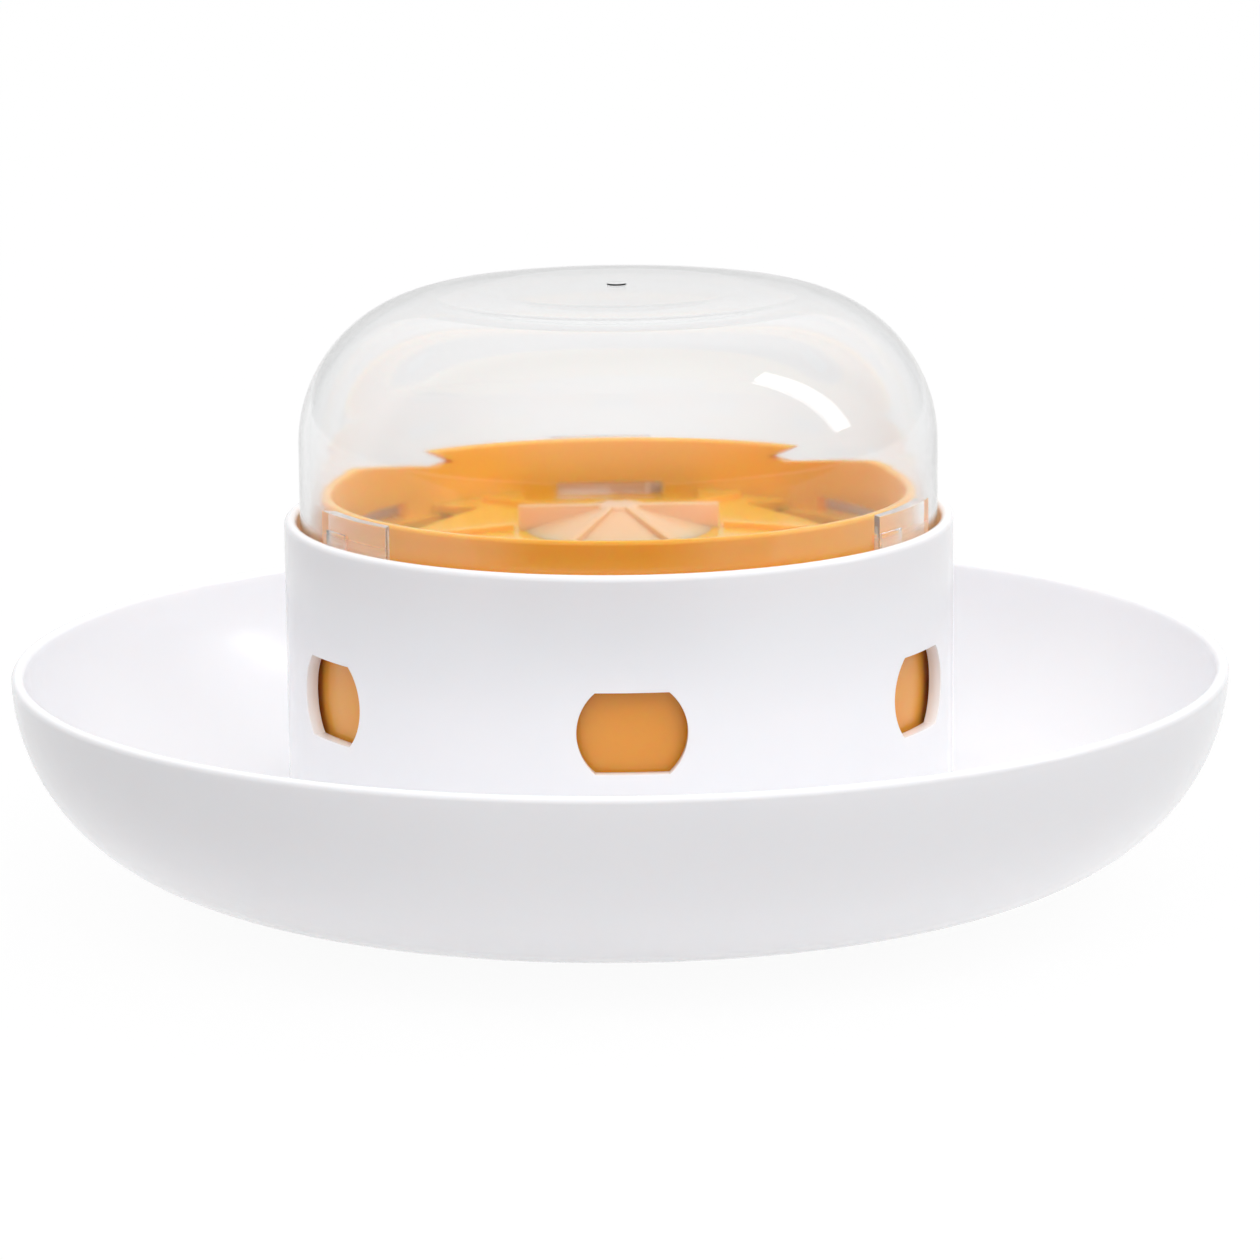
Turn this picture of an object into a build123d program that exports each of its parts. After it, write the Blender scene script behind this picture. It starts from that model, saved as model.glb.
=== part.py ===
from build123d import *
import os
from math import asin, cos, degrees, radians, sin, sqrt

os.makedirs("parts", exist_ok=True)

# Pet treat dispenser in millimetres. +Z is up, the origin is under the middle of the foot ring.
# Angles are taken from the front, which is -Y, and grow towards +X.

# Saucer bowl
rim_radius = 125.0
bowl_wall = 2.6
bowl_side_radius = 41.2
bowl_bottom_radius = 420.0
foot_radius = 50.0
seat_height = 6.6
seat_margin = 1.0
seat_width = 6.0
lip_round_share = 0.45

# Non-slip ring in the foot
foot_ring_radius = 44.0
foot_ring_width = 5.0
foot_ring_stand = 0.6
foot_groove_depth = 1.2
foot_ring_gap = 0.1
foot_ring_round = 0.4

# Screws that hold the tower to the bowl
screw_count = 4
screw_circle_radius = 28.0
screw_radius = 2.0
screw_length = 15.0
screw_head_radius = 3.6
screw_head_height = 2.4
screw_hole_gap = 0.2
screw_head_gap = 0.4
screw_head_recess = 3.2
thread_gap = 0.05
screw_pad_wall = 3.0

# Window tower
tower_radius = 68.6
tower_wall = 2.6
tower_height = 71.3
window_count = 6
window_diameter = 21.8
window_height = 16.3
window_drop = 31.25
flange_width = 1.8
flange_thickness = 2.0

# Deck inside the tower, which clamps it down on the bowl
deck_gap = 0.2
deck_thickness = 2.6
clamp_gap = 0.2
land_height = 0.8
land_width = 7.0
pillar_radius = 8.0
boss_radius = 5.2
rib_thickness = 2.0
rib_depth = 14.0

# Pivot that the cup turns on
spigot_radius = 6.0
pivot_fit = 0.06
pivot_end_play = 0.15
washer_radius = 9.0
washer_thickness = 1.2
pivot_screw_length = 13.0

# Gate cup
turn_range = 30.0
gate_gap = 1.2
gate_wall = 2.2
cup_floor = 1.8
hub_radius = 10.0
hub_height = 11.0
hub_step = 1.5
stop_count = 2
stop_inset = 12.6
stop_pin_radius = 1.8
stop_gap = 0.35

# Collar ring on the gate cup
skirt_depth = 8.0
plug_gap = 0.1
plug_wall = 1.6
plug_depth = 2.0
collar_step = 3.8
collar_wall = 2.2
collar_rise = 5.5
rim_round_share = 0.4
shoulder_thickness = 2.2
ledge_width = 2.2
collar_slot_width = 23.0
collar_slot_height = 3.4
notch_angle = 55.0
notch_width = 27.0
notch_depth = 3.8
notch_undercut = 6.6
notch_foot_inset = 2.1
notch_apex_rise = 0.7

# Cone tray
tray_gap = 0.3
tray_thickness = 2.0
tray_edge_width = 4.5
tray_rise = 2.7
plateau_radius = 21.5
drop_width = 37.8
drop_depth = 16.5
drop_round = 5.0
lane_rib_height = 1.2
lane_rib_thickness = 2.0

# Spreader hub
vane_radius = 20.5
vane_height = 5.0
vane_thickness = 1.8
ridge_height = 1.0
cone_foot_radius = 19.0
cone_tip_radius = 4.6
cone_tip_round = 1.2
stem_radius = 5.0
stem_length = 6.0
stem_gap = 0.05

# Clear dome
dome_gap = 0.65
dome_wall = 2.0
dome_straight = 14.9
dome_shoulder_radius = 31.1
dome_crown_rise = 0.8
gate_mark_radius = 2.0
gate_mark_height = 0.5
pad_count = 3
pad_span = 21.0
pad_angle = 62.0
pad_gap = 0.35

# Keys on the collar, each in a groove near one end of a pad
key_turn = 5.8
key_width = 6.8
key_height = 1.2
key_rise = 1.5
key_gap = 0.35

# One overrun for every cut that passes a face
overrun = 1.0

# Levels above the surface that it stands on, from the foot up
foot_level = foot_ring_stand
floor_level = foot_level + bowl_wall
seat_level = foot_level + seat_height
side_arc_radius = rim_radius - bowl_side_radius
wall_tilt = asin(side_arc_radius / (bowl_bottom_radius - bowl_side_radius))
bottom_arc_level = foot_level + sqrt(bowl_bottom_radius**2 - foot_radius**2)
rim_level = bottom_arc_level - (bowl_bottom_radius - bowl_side_radius) * cos(wall_tilt)
tower_level = seat_level + tower_height
window_level = tower_level - window_drop
cup_floor_level = window_level - window_height / 2
cup_base_level = cup_floor_level - cup_floor
deck_level = cup_base_level - land_height
deck_base_level = deck_level - deck_thickness
hub_level = cup_base_level + hub_height
spigot_level = hub_level + pivot_end_play
shoulder_level = tower_level - skirt_depth
gate_top_level = shoulder_level - shoulder_thickness
cup_rim_level = tower_level + collar_rise
key_level = tower_level + key_rise
tray_edge_level = shoulder_level + tray_thickness
plateau_level = tray_edge_level + tray_rise
vane_level = plateau_level + vane_height
dome_shoulder_level = tower_level + dome_straight
apex_level = dome_shoulder_level + dome_shoulder_radius + dome_crown_rise

# Radii that follow from the fits
tower_bore = tower_radius - tower_wall
flange_bore = tower_bore - flange_width
deck_radius = tower_bore - deck_gap
rib_radius = flange_bore - deck_gap
gate_radius = tower_bore - gate_gap
gate_bore = gate_radius - gate_wall
plug_radius = gate_bore - plug_gap
stop_circle_radius = gate_bore - stop_inset
collar_radius = gate_radius - collar_step
collar_bore = collar_radius - collar_wall
ledge_bore = collar_bore - ledge_width
tray_radius = collar_bore - tray_gap
hub_bore = spigot_radius + pivot_fit
dome_radius = tower_bore - dome_gap
dome_bore = dome_radius - dome_wall
pad_bore = collar_radius + pad_gap
screw_hole_radius = screw_radius + screw_hole_gap
screw_recess_radius = screw_head_radius + screw_head_gap
pilot_radius = screw_radius + thread_gap
screw_pad_radius = screw_recess_radius + screw_pad_wall

# Angles of what repeats
window_step = 360 / window_count
window_angles = [step * window_step for step in range(window_count)]
between_angles = [angle + window_step / 2 for angle in window_angles]
pad_angles = [pad_angle + step * 360 / pad_count for step in range(pad_count)]
key_angles = [angle - key_turn for angle in pad_angles]
stop_turns = [step * 360 / stop_count for step in range(stop_count)]
first_screw_turn = 360 / screw_count / 2


def arc_point(centre, radius, angle):
    """Point of a profile arc at an angle, in degrees, up from the outward direction."""
    return (centre[0] + radius * cos(radians(angle)), centre[1] + radius * sin(radians(angle)))


def facing_plane(angle, radius, level):
    """Plane that stands upright at a radius and faces outwards."""
    across = (cos(radians(angle)), sin(radians(angle)), 0)
    outward = (sin(radians(angle)), -cos(radians(angle)), 0)
    return Plane(origin=(radius * outward[0], radius * outward[1], level), x_dir=across, z_dir=outward)


def section_plane(angle):
    """Upright plane through the axis whose x runs outwards at an angle."""
    outward = (sin(radians(angle)), -cos(radians(angle)), 0)
    normal = (-cos(radians(angle)), -sin(radians(angle)), 0)
    return Plane(origin=(0, 0, 0), x_dir=outward, z_dir=normal)


def turn_of(angle):
    """Turn about +Z from +X that an angle from the front stands for."""
    return angle - 90


# Outline of one window, a circle cut off flat at the top and bottom
with BuildSketch() as window_outline:
    Circle(window_diameter / 2)
    Rectangle(window_diameter, window_height, mode=Mode.INTERSECT)

# Saucer bowl
bottom_centre = (0, bottom_arc_level)
side_centre = (side_arc_radius, rim_level)
tangent_angle = degrees(wall_tilt) - 90
foot_angle = degrees(asin(foot_radius / bowl_bottom_radius)) - 90
inner_bottom_radius = bowl_bottom_radius - bowl_wall
inner_side_radius = bowl_side_radius - bowl_wall
floor_radius = sqrt(inner_bottom_radius**2 - (bottom_arc_level - floor_level) ** 2)
floor_angle = degrees(asin(floor_radius / inner_bottom_radius)) - 90
outer_tangent = arc_point(bottom_centre, bowl_bottom_radius, tangent_angle)
inner_tangent = arc_point(bottom_centre, inner_bottom_radius, tangent_angle)
outer_bottom_middle = arc_point(bottom_centre, bowl_bottom_radius, (foot_angle + tangent_angle) / 2)
inner_bottom_middle = arc_point(bottom_centre, inner_bottom_radius, (floor_angle + tangent_angle) / 2)
outer_side_middle = arc_point(side_centre, bowl_side_radius, tangent_angle / 2)
inner_side_middle = arc_point(side_centre, inner_side_radius, tangent_angle / 2)
seat_radius = tower_radius + seat_margin
seat_bore = seat_radius - seat_width
seat_top_wall_level = bottom_arc_level - sqrt(inner_bottom_radius**2 - seat_bore**2)
seat_low_wall_level = bottom_arc_level - sqrt(bowl_bottom_radius**2 - seat_radius**2)
seat_root_level = (seat_top_wall_level + seat_low_wall_level) / 2

with BuildPart() as saucer_bowl:
    with BuildSketch(Plane.XZ):
        with BuildLine():
            Line((0, foot_level), (foot_radius, foot_level))
            ThreePointArc((foot_radius, foot_level), outer_bottom_middle, outer_tangent)
            ThreePointArc(outer_tangent, outer_side_middle, (rim_radius, rim_level))
            Line((rim_radius, rim_level), (rim_radius - bowl_wall, rim_level))
            ThreePointArc((rim_radius - bowl_wall, rim_level), inner_side_middle, inner_tangent)
            ThreePointArc(inner_tangent, inner_bottom_middle, (floor_radius, floor_level))
            Line((floor_radius, floor_level), (0, floor_level))
            Line((0, floor_level), (0, foot_level))
        make_face()
    revolve(axis=Axis.Z)
    fillet(saucer_bowl.edges().group_by(Axis.Z)[-1], lip_round_share * bowl_wall)
    with BuildSketch(Plane.XY.offset(seat_root_level)):
        Circle(seat_radius)
        Circle(seat_bore, mode=Mode.SUBTRACT)
    extrude(amount=seat_level - seat_root_level)
    with BuildSketch(Plane.XY.offset(floor_level)):
        Circle(pillar_radius)
        with PolarLocations(screw_circle_radius, screw_count, start_angle=first_screw_turn):
            Circle(screw_pad_radius)
    extrude(amount=seat_level - floor_level)
    with BuildSketch(Plane.XY.offset(foot_level)):
        Circle(foot_ring_radius + foot_ring_width / 2)
        Circle(foot_ring_radius - foot_ring_width / 2, mode=Mode.SUBTRACT)
    extrude(amount=foot_groove_depth, mode=Mode.SUBTRACT)
    with Locations(Plane(origin=(0, 0, foot_level), x_dir=(1, 0, 0), z_dir=(0, 0, -1))):
        with PolarLocations(screw_circle_radius, screw_count, start_angle=first_screw_turn):
            CounterBoreHole(screw_hole_radius, screw_recess_radius, screw_head_recess)

saucer_bowl.part.label = "saucer_bowl"
export_step(saucer_bowl.part, "parts/saucer_bowl.step")

# Non-slip ring
with BuildPart() as foot_ring:
    with BuildSketch():
        Circle(foot_ring_radius + foot_ring_width / 2 - foot_ring_gap)
        Circle(foot_ring_radius - foot_ring_width / 2 + foot_ring_gap, mode=Mode.SUBTRACT)
    extrude(amount=foot_ring_stand + foot_groove_depth)
    fillet(foot_ring.edges().group_by(Axis.Z)[0], foot_ring_round)

foot_ring.part.label = "foot_ring"
export_step(foot_ring.part, "parts/foot_ring.step")

# Window tower, with a flange inside for the deck
with BuildPart() as window_tower:
    with BuildSketch(Plane.XY.offset(seat_level)):
        Circle(tower_radius)
        Circle(tower_bore, mode=Mode.SUBTRACT)
    extrude(amount=tower_height)
    fillet(window_tower.edges().group_by(Axis.Z)[-1], lip_round_share * tower_wall)
    with BuildSketch(Plane.XY.offset(deck_base_level)):
        Circle(tower_radius - tower_wall / 2)
        Circle(flange_bore, mode=Mode.SUBTRACT)
    extrude(amount=-flange_thickness)
    for angle in window_angles:
        with BuildSketch(facing_plane(angle, gate_bore, window_level)):
            add(window_outline.sketch)
        extrude(amount=tower_radius - gate_bore + overrun, mode=Mode.SUBTRACT)

window_tower.part.label = "window_tower"
export_step(window_tower.part, "parts/window_tower.step")

# Deck on the flange, with the pivot's spigot above and the screws' bosses below
boss_level = seat_level + clamp_gap
with BuildPart() as tower_deck:
    with BuildSketch(Plane.XY.offset(deck_base_level)):
        Circle(deck_radius)
    extrude(amount=deck_thickness)
    with BuildSketch(Plane.XY.offset(deck_level)):
        Circle(spigot_radius + land_width)
    extrude(amount=land_height)
    with BuildSketch(Plane.XY.offset(deck_level)):
        Circle(spigot_radius)
    extrude(amount=spigot_level - deck_level)
    with BuildSketch(Plane.XY.offset(boss_level)):
        Circle(pillar_radius)
        with PolarLocations(screw_circle_radius, screw_count, start_angle=first_screw_turn):
            Circle(boss_radius)
    extrude(amount=deck_base_level - boss_level)
    with BuildSketch(Plane.XY.offset(deck_base_level - rib_depth)):
        with PolarLocations(rib_radius / 2, screw_count, start_angle=first_screw_turn):
            Rectangle(rib_radius, rib_thickness)
    extrude(amount=rib_depth)
    with BuildSketch(Plane.XY.offset(boss_level)):
        with PolarLocations(screw_circle_radius, screw_count, start_angle=first_screw_turn):
            Circle(pilot_radius)
    extrude(amount=screw_length, mode=Mode.SUBTRACT)
    with BuildSketch(Plane.XY.offset(spigot_level)):
        Circle(pilot_radius)
    extrude(amount=-pivot_screw_length, mode=Mode.SUBTRACT)
    for turn in stop_turns:
        with BuildSketch(Plane.XY.offset(deck_base_level)):
            stop_path = CenterArc((0, 0), stop_circle_radius, turn, turn_range, mode=Mode.PRIVATE)
            SlotArc(stop_path, 2 * (stop_pin_radius + stop_gap))
        extrude(amount=deck_thickness, mode=Mode.SUBTRACT)

tower_deck.part.label = "tower_deck"
export_step(tower_deck.part, "parts/tower_deck.step")

# Screws from below
screw_seat_level = foot_level + screw_head_recess
with BuildPart() as tower_screws:
    with BuildSketch(Plane.XY.offset(screw_seat_level)):
        with PolarLocations(screw_circle_radius, screw_count, start_angle=first_screw_turn):
            Circle(screw_head_radius)
    extrude(amount=-screw_head_height)
    with BuildSketch(Plane.XY.offset(screw_seat_level)):
        with PolarLocations(screw_circle_radius, screw_count, start_angle=first_screw_turn):
            Circle(screw_radius)
    extrude(amount=screw_length)

tower_screws.part.label = "tower_screws"
export_step(tower_screws.part, "parts/tower_screws.step")

# Washer over the cup's hub, on the end of the spigot
with BuildPart() as pivot_washer:
    with BuildSketch(Plane.XY.offset(spigot_level)):
        Circle(washer_radius)
        Circle(screw_hole_radius, mode=Mode.SUBTRACT)
    extrude(amount=washer_thickness)

pivot_washer.part.label = "pivot_washer"
export_step(pivot_washer.part, "parts/pivot_washer.step")

# Pivot screw
pivot_head_level = spigot_level + washer_thickness
with BuildPart() as pivot_screw:
    with BuildSketch(Plane.XY.offset(pivot_head_level)):
        Circle(screw_head_radius)
    extrude(amount=screw_head_height)
    with BuildSketch(Plane.XY.offset(pivot_head_level)):
        Circle(screw_radius)
    extrude(amount=-pivot_screw_length)

pivot_screw.part.label = "pivot_screw"
export_step(pivot_screw.part, "parts/pivot_screw.step")

# Gate cup: hub, sloping floor and gate wall
hub_floor_level = hub_level - hub_step
floor_slope = (hub_floor_level - cup_floor_level) / (gate_bore - hub_radius)
pin_root_level = cup_base_level + cup_floor / 2 + floor_slope * stop_inset
pin_tip_level = deck_base_level + stop_gap
with BuildPart() as gate_cup:
    with BuildSketch(Plane.XZ):
        with BuildLine():
            Polyline(
                (hub_bore, hub_level),
                (hub_bore, cup_base_level),
                (hub_radius, cup_base_level),
                (hub_radius, hub_floor_level - cup_floor),
                (gate_bore, cup_base_level),
                (gate_radius, cup_base_level),
                (gate_radius, gate_top_level),
                (gate_bore, gate_top_level),
                (gate_bore, cup_floor_level),
                (hub_radius, hub_floor_level),
                (hub_radius, hub_level),
                close=True,
            )
        make_face()
    revolve(axis=Axis.Z)
    # Gate windows, half a step round from the tower's windows
    for angle in between_angles:
        with BuildSketch(facing_plane(angle, ledge_bore, window_level)):
            add(window_outline.sketch)
        extrude(amount=gate_radius - ledge_bore + overrun, mode=Mode.SUBTRACT)
    # Stop pins that run in the deck's slots
    with BuildSketch(Plane.XY.offset(pin_tip_level)):
        for turn in stop_turns:
            with PolarLocations(stop_circle_radius, 1, start_angle=turn):
                Circle(stop_pin_radius)
    extrude(amount=pin_root_level - pin_tip_level)

gate_cup.part.label = "gate_cup"
export_step(gate_cup.part, "parts/gate_cup.step")

# Collar ring: a plug in the gate wall, a shoulder with a ledge inside, and the collar
with BuildPart() as cup_collar:
    with BuildSketch(Plane.XZ):
        with BuildLine():
            Polyline(
                (plug_radius, gate_top_level),
                (gate_radius, gate_top_level),
                (gate_radius, shoulder_level),
                (collar_radius, shoulder_level),
                (collar_radius, cup_rim_level),
                (collar_bore, cup_rim_level),
                (collar_bore, shoulder_level),
                (ledge_bore, shoulder_level),
                (ledge_bore, gate_top_level),
                (plug_radius - plug_wall, gate_top_level),
                (plug_radius - plug_wall, gate_top_level - plug_depth),
                (plug_radius, gate_top_level - plug_depth),
                close=True,
            )
        make_face()
    revolve(axis=Axis.Z)
    fillet(cup_collar.edges().group_by(Axis.Z)[-1], rim_round_share * collar_wall)
    # Sloping notches in the rim, one each side of the back, that run in under a pointed tip
    for side in (-1, 1):
        with BuildSketch(facing_plane(180 + side * notch_angle, collar_bore - notch_undercut, cup_rim_level)):
            with BuildLine():
                Polyline(
                    (-side * notch_width / 2, 0),
                    (-side * (notch_width / 2 + notch_undercut), notch_apex_rise - notch_depth),
                    (-side * (notch_width / 2 + notch_foot_inset), -notch_depth),
                    (side * notch_width / 2, 0),
                    (side * notch_width / 2, overrun),
                    (-side * notch_width / 2, overrun),
                    close=True,
                )
            make_face()
        extrude(amount=collar_wall + notch_undercut + overrun, mode=Mode.SUBTRACT)
    # Keys on the outside of the collar that turn with the dome's pads
    for angle in key_angles:
        with BuildSketch(facing_plane(angle, collar_bore + collar_wall / 2, key_level)):
            Rectangle(key_width, key_level - shoulder_level, align=(Align.CENTER, Align.MAX))
        extrude(amount=collar_wall / 2 + key_height)
    # Low slots at the foot of the collar, over the tray's drop openings
    for angle in window_angles:
        with BuildSketch(facing_plane(angle, ledge_bore, shoulder_level + collar_slot_height / 2)):
            Rectangle(collar_slot_width, collar_slot_height)
        extrude(amount=collar_radius - ledge_bore + key_height + overrun, mode=Mode.SUBTRACT)

cup_collar.part.label = "cup_collar"
export_step(cup_collar.part, "parts/cup_collar.step")

# Cone tray on the collar's ledge
tray_cone_radius = tray_radius - tray_edge_width
with BuildPart() as cone_tray:
    with BuildSketch(Plane.XZ):
        with BuildLine():
            Polyline(
                (stem_radius + stem_gap, plateau_level),
                (stem_radius + stem_gap, plateau_level - tray_thickness),
                (plateau_radius, plateau_level - tray_thickness),
                (tray_cone_radius, shoulder_level),
                (tray_radius, shoulder_level),
                (tray_radius, tray_edge_level),
                (tray_cone_radius, tray_edge_level),
                (plateau_radius, plateau_level),
                close=True,
            )
        make_face()
    revolve(axis=Axis.Z)
    # Low ribs that part the six lanes
    for angle in between_angles:
        with BuildSketch(section_plane(angle)):
            with BuildLine():
                Polyline(
                    (plateau_radius, plateau_level - tray_thickness),
                    (tray_cone_radius, shoulder_level),
                    (tray_cone_radius, tray_edge_level + lane_rib_height),
                    (plateau_radius, plateau_level + lane_rib_height),
                    close=True,
                )
            make_face()
        extrude(amount=lane_rib_thickness / 2, both=True)
    # Six drop openings in the edge
    with BuildSketch(Plane.XY.offset(shoulder_level - overrun)):
        with PolarLocations(tray_radius, window_count, start_angle=turn_of(0)):
            RectangleRounded(2 * drop_depth, drop_width, drop_round)
    extrude(amount=plateau_level - shoulder_level + overrun + overrun, mode=Mode.SUBTRACT)

cone_tray.part.label = "cone_tray"
export_step(cone_tray.part, "parts/cone_tray.step")

# Spreader hub: a cone with a flat-topped vane across it, four sloping ridges and a stem
ridge_angles = [angle for angle in between_angles if angle % 90 != 0]
with BuildPart() as spreader_hub:
    with BuildSketch(Plane.XZ):
        with BuildLine():
            Polyline(
                (0, plateau_level - stem_length),
                (stem_radius, plateau_level - stem_length),
                (stem_radius, plateau_level),
                (cone_foot_radius, plateau_level),
                (cone_tip_radius, vane_level),
                (0, vane_level),
                close=True,
            )
        make_face()
    revolve(axis=Axis.Z)
    fillet(spreader_hub.edges().group_by(Axis.Z)[-1], cone_tip_round)
    with BuildSketch(Plane.XY.offset(plateau_level)):
        Rectangle(2 * vane_radius, vane_thickness)
    extrude(amount=vane_height)
    for angle in ridge_angles:
        with BuildSketch(section_plane(angle)):
            with BuildLine():
                Polyline(
                    (0, plateau_level),
                    (vane_radius, plateau_level),
                    (vane_radius, plateau_level + ridge_height),
                    (cone_tip_radius, vane_level),
                    (0, vane_level),
                    close=True,
                )
            make_face()
        extrude(amount=vane_thickness / 2, both=True)

spreader_hub.part.label = "spreader_hub"
export_step(spreader_hub.part, "parts/spreader_hub.step")

# Clear dome
crown_half_width = dome_radius - dome_shoulder_radius
crown_height = dome_shoulder_radius + dome_crown_rise
crown_reach = crown_half_width**2 + crown_height**2 - dome_shoulder_radius**2
crown_radius = crown_reach / (2 * dome_crown_rise)
crown_tilt = degrees(asin(crown_half_width / (crown_radius - dome_shoulder_radius)))
crown_edge_angle = 90 - crown_tilt
crown_middle_angle = 90 - crown_tilt / 2
crown_centre = (0, apex_level - crown_radius)
inner_crown_radius = crown_radius - dome_wall
shoulder_centre = (crown_half_width, dome_shoulder_level)
inner_shoulder_radius = dome_shoulder_radius - dome_wall
outer_crown_edge = arc_point(shoulder_centre, dome_shoulder_radius, crown_edge_angle)
inner_crown_edge = arc_point(shoulder_centre, inner_shoulder_radius, crown_edge_angle)
with BuildPart() as clear_dome:
    with BuildSketch(Plane.XZ):
        with BuildLine():
            Line((dome_bore, shoulder_level), (dome_radius, shoulder_level))
            Line((dome_radius, shoulder_level), (dome_radius, dome_shoulder_level))
            ThreePointArc(
                (dome_radius, dome_shoulder_level),
                arc_point(shoulder_centre, dome_shoulder_radius, crown_edge_angle / 2),
                outer_crown_edge,
            )
            ThreePointArc(
                outer_crown_edge,
                arc_point(crown_centre, crown_radius, crown_middle_angle),
                (0, apex_level),
            )
            Line((0, apex_level), (0, apex_level - dome_wall))
            ThreePointArc(
                (0, apex_level - dome_wall),
                arc_point(crown_centre, inner_crown_radius, crown_middle_angle),
                inner_crown_edge,
            )
            ThreePointArc(
                inner_crown_edge,
                arc_point(shoulder_centre, inner_shoulder_radius, crown_edge_angle / 2),
                (dome_bore, dome_shoulder_level),
            )
            Line((dome_bore, dome_shoulder_level), (dome_bore, shoulder_level))
        make_face()
    revolve(axis=Axis.Z)
    # Mark left by the mould's gate in the middle of the top
    with BuildSketch(Plane.XY.offset(apex_level - dome_wall / 2)):
        Circle(gate_mark_radius)
    extrude(amount=dome_wall / 2 + gate_mark_height)
    # Grip pads that close the gap to the cup's collar
    for angle in pad_angles:
        with BuildSketch(section_plane(angle - pad_span / 2)):
            with BuildLine():
                Polyline(
                    (pad_bore, shoulder_level),
                    (dome_bore + dome_wall / 2, shoulder_level),
                    (dome_bore + dome_wall / 2, cup_rim_level),
                    (pad_bore, cup_rim_level),
                    close=True,
                )
            make_face()
        revolve(axis=Axis.Z, revolution_arc=pad_span)
    # Grooves in the pads that slide over the collar's keys
    groove_level = key_level + key_gap
    groove_height = groove_level - shoulder_level + overrun
    for angle in key_angles:
        with BuildSketch(facing_plane(angle, collar_bore, groove_level)):
            Rectangle(key_width + 2 * key_gap, groove_height, align=(Align.CENTER, Align.MAX))
        extrude(amount=collar_wall + key_height + key_gap, mode=Mode.SUBTRACT)

clear_dome.part.label = "clear_dome"
export_step(clear_dome.part, "parts/clear_dome.step")
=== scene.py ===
import math

import bmesh
import bpy
from mathutils import Matrix, Vector


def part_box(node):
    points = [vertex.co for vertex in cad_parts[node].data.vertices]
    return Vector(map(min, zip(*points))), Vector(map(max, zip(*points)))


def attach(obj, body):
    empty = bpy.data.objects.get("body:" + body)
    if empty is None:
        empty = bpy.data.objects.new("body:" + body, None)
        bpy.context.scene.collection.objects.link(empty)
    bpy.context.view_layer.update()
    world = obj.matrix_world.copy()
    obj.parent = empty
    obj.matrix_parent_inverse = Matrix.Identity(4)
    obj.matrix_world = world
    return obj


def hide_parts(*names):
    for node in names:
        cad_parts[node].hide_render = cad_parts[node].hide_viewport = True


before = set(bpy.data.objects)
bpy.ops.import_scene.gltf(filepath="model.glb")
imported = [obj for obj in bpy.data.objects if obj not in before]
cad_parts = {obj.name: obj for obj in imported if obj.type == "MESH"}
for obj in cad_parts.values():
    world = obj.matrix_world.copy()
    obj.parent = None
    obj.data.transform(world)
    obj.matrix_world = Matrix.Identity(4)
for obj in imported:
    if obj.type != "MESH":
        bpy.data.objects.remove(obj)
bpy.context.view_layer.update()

# Sizes in metres and angles in degrees. Angles are taken from the front, -Y, and grow towards +X.

# Levels and radii that the frame gives
bowl_low, bowl_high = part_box("saucer_bowl")
tower_low, tower_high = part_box("window_tower")
cup_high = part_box("gate_cup")[1]
collar_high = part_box("cup_collar")[1]
tray_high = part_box("cone_tray")[1]
star_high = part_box("spreader_hub")[1]
dome_low, dome_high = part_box("clear_dome")
screws_low, screws_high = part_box("tower_screws")
foot_level = bowl_low[2]
rim_level = bowl_high[2]
seat_level = tower_low[2]
tower_level = tower_high[2]
tower_radius = tower_high[0]
gate_radius = collar_high[0]
gate_top_level = cup_high[2]
cup_rim_level = collar_high[2]
shoulder_level = dome_low[2]
tray_radius = tray_high[0]
vane_radius = star_high[0]
vane_level = star_high[2]
dome_radius = dome_high[0]
dome_top_level = dome_high[2]
screw_tip_level = screws_high[2]
screw_head_level = screws_low[2]

# Saucer bowl
rim_radius = 0.12497
bowl_wall = 0.0026
bowl_side_radius = 0.0412
bowl_bottom_radius = 0.42
foot_radius = 0.05
seat_margin = 0.001
seat_width = 0.006
seat_fillet = 0.0008
groove_radius = 0.044
groove_width = 0.005
groove_depth = 0.0012
screw_circle_radius = 0.028
screw_recess_radius = 0.004
screw_recess_depth = 0.0032

# Screws
screw_count = 4
screw_turn = 45.0
screw_radius = 0.002
screw_head_radius = 0.0036
screw_head_height = 0.0024
screw_head_round = 0.0013
screw_cross_length = 0.0042
screw_cross_width = 0.0011
screw_cross_depth = 0.0013

# Window tower
tower_wall = 0.0026
window_count = 6
window_diameter = 0.0218
window_height = 0.0163
window_drop = 0.03125
window_round = 0.00035
flange_width = 0.0018
flange_thickness = 0.002
flange_drop = 0.0035

# Gate cup
gate_wall = 0.0022
cup_floor = 0.0018
hub_bore = 0.00606
hub_radius = 0.010
hub_height = 0.011
hub_step = 0.0015

# Collar ring
plug_gap = 0.0001
plug_wall = 0.0016
plug_depth = 0.002
collar_step = 0.0038
collar_wall = 0.0022
rim_round = 0.00088
ledge_width = 0.0022
collar_slot_width = 0.023
collar_slot_height = 0.0034
notch_angle = 55.0
notch_width = 0.027
notch_depth = 0.0038
notch_undercut = 0.0066
notch_foot_inset = 0.0021
notch_apex_rise = 0.0007
key_turn = 5.8
key_width = 0.0068
key_height = 0.0012
key_rise = 0.0015

# Cone tray and spreader hub
tray_thickness = 0.002
tray_edge_width = 0.0045
tray_rise = 0.0027
tray_round = 0.0003
plateau_radius = 0.0215
drop_width = 0.0378
drop_depth = 0.0165
drop_round = 0.005
lane_rib_height = 0.0012
lane_rib_thickness = 0.002
vane_thickness = 0.0018
vane_round = 0.00035
ridge_height = 0.001
cone_foot_radius = 0.019
cone_tip_radius = 0.0046
cone_tip_round = 0.0012
cone_tip_start = 20.0
stem_radius = 0.005
stem_gap = 0.00005
stem_length = 0.006

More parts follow.
